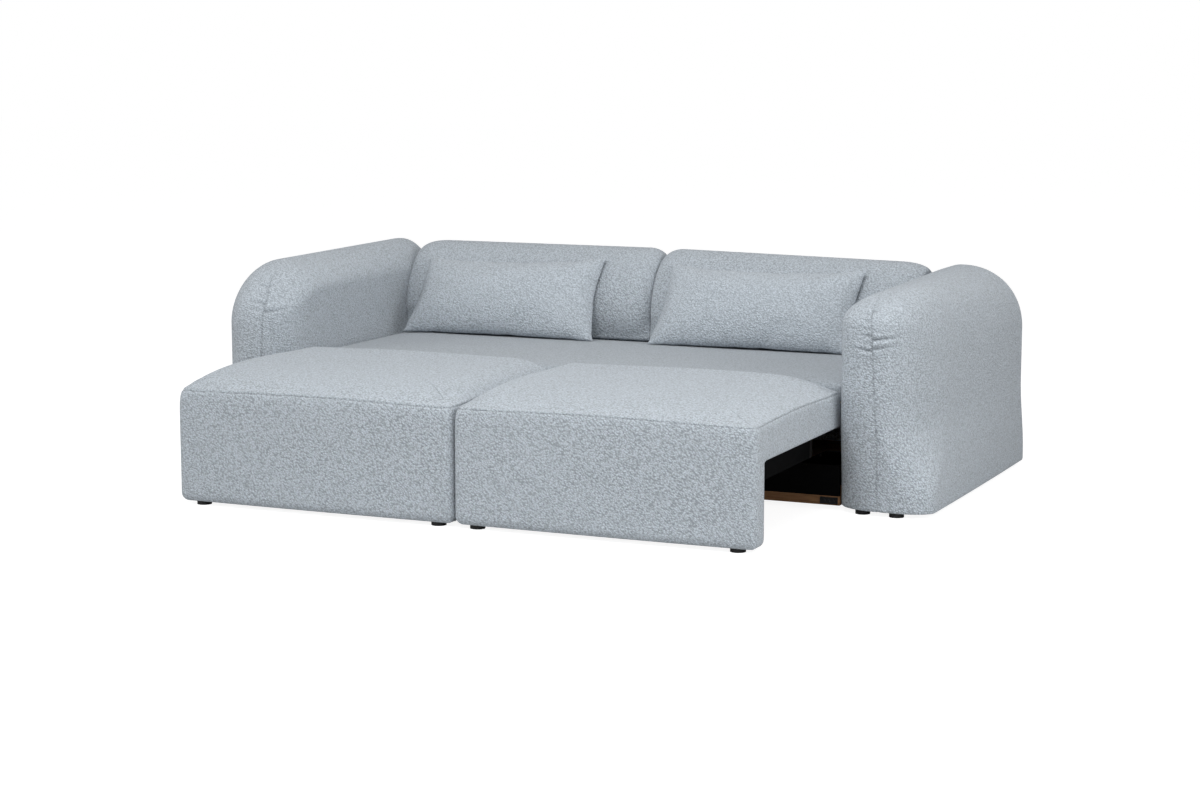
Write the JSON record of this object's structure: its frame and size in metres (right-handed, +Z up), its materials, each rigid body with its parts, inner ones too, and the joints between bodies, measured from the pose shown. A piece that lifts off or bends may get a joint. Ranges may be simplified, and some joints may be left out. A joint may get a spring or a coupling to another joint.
{
  "type": "sofa bed",
  "caption": "Upholstered sofa bed, opened: a pair of seat modules on swing arms steps out from between rounded arms and a padded deck rises behind them.",
  "frame": {"origin": "on the floor under the centre of the open sofa bed's bounding box", "axes": "+X to the right seen from the front, +Y towards the back, +Z up; rest pose is the open bed of the picture"},
  "size_m": [2.6896, 1.8681, 0.7358],
  "materials": {
    "upholstery": "light blue-grey boucle weave",
    "deck_cloth": "light blue-grey finer weave",
    "pillow_cloth": "light blue-grey boucle weave",
    "black_cloth": "black lining cloth over board",
    "pale_timber": "sawn pine, unfinished",
    "brown_timber": "sawn timber, grey-brown",
    "plywood": "plywood",
    "black_steel": "black powder coat",
    "zinc_steel": "zinc plated",
    "black_plastic": "moulded black glide",
    "black_rubber": "soft black pad"
  },
  "bodies": {
    "base": {"arm_feet": "black_plastic", "back_boards": "plywood", "back_posts": "brown_timber", "back_top_rails": "brown_timber", "base_feet": "black_plastic", "base_front_boards": "black_cloth", "base_front_rail": "pale_timber", "base_long_rails": "pale_timber", "base_rear_rail": "pale_timber", "corner_plates": "black_steel", "corner_screws": "zinc_steel", "deck_link_brackets": "black_steel", "deck_link_pins": "zinc_steel", "deck_rest_pads": "black_rubber", "left_arm_bolts": "zinc_steel", "left_arm_frame": "plywood", "left_arm_padding": "upholstery", "left_back_cushion": "upholstery", "left_base_side_rail": "pale_timber", "rear_panel": "upholstery", "right_arm_bolts": "zinc_steel", "right_arm_frame": "plywood", "right_arm_padding": "upholstery", "right_back_cushion": "upholstery", "right_base_side_rail": "pale_timber", "side_guide_plates": "zinc_steel", "swing_arm_brackets": "black_steel", "swing_arm_pins": "zinc_steel"},
    "seat_unit": {"left_front_board": "plywood", "left_front_pad": "upholstery", "left_seat_board": "plywood", "left_seat_pad": "upholstery", "module_tie_plates": "black_steel", "right_front_board": "plywood", "right_front_pad": "upholstery", "right_seat_board": "plywood", "right_seat_pad": "upholstery", "seat_arm_rails": "brown_timber", "seat_cross_rails": "brown_timber", "seat_feet": "black_plastic", "seat_pins": "zinc_steel", "seat_side_rails": "brown_timber"},
    "deck": {"deck_board": "plywood", "deck_cross_rails": "brown_timber", "deck_long_rails": "brown_timber", "deck_pad": "deck_cloth", "deck_pins": "zinc_steel", "deck_side_rails": "brown_timber"},
    "front_swing_arms": {"front_swing_arms": "black_steel"},
    "rear_swing_arms": {"rear_swing_arms": "black_steel"},
    "front_deck_links": {"front_deck_links": "black_steel"},
    "rear_deck_links": {"rear_deck_links": "black_steel"},
    "left_pillow": {"left_pillow": "pillow_cloth"},
    "right_pillow": {"right_pillow": "pillow_cloth"}
  },
  "joints": [
    {"name": "seat_swing", "type": "hinge", "parent": "base", "child": "rear_swing_arms", "pos_m": [0, -0.10099, 0.058], "axis": [-1, 0, 0], "range_deg": [0, 120]},
    {"name": "front_arm_swing", "type": "hinge", "parent": "base", "child": "front_swing_arms", "pos_m": [0, -0.18099, 0.058], "axis": [-1, 0, 0], "range_deg": [0, 120]},
    {"name": "seat_level", "type": "hinge", "parent": "rear_swing_arms", "child": "seat_unit", "pos_m": [0, -0.42141, 0.243], "axis": [-1, 0, 0], "range_deg": [-120, 0]},
    {"name": "front_link_swing", "type": "hinge", "parent": "base", "child": "front_deck_links", "pos_m": [0, -0.02268, 0.06207], "axis": [-1, 0, 0], "range_deg": [0, 72]},
    {"name": "rear_link_swing", "type": "hinge", "parent": "base", "child": "rear_deck_links", "pos_m": [0, 0.37732, 0.06207], "axis": [-1, 0, 0], "range_deg": [0, 72]},
    {"name": "deck_level", "type": "hinge", "parent": "rear_deck_links", "child": "deck", "pos_m": [0, 0.44899, 0.312], "axis": [-1, 0, 0], "range_deg": [-72, 0]},
    {"name": "left_pillow_lift", "type": "slide", "parent": "base", "child": "left_pillow", "axis": [0, -0.6, 0.8], "range_m": [0, 0.15]},
    {"name": "right_pillow_lift", "type": "slide", "parent": "base", "child": "right_pillow", "axis": [0, -0.6, 0.8], "range_m": [0, 0.15]}
  ],
  "couplings": [
    {"joint": "front_arm_swing", "follows": "seat_swing", "ratio": 1},
    {"joint": "seat_level", "follows": "seat_swing", "ratio": -1},
    {"joint": "front_link_swing", "follows": "seat_swing", "ratio": 0.6},
    {"joint": "rear_link_swing", "follows": "seat_swing", "ratio": 0.6},
    {"joint": "deck_level", "follows": "seat_swing", "ratio": -0.6}
  ]
}
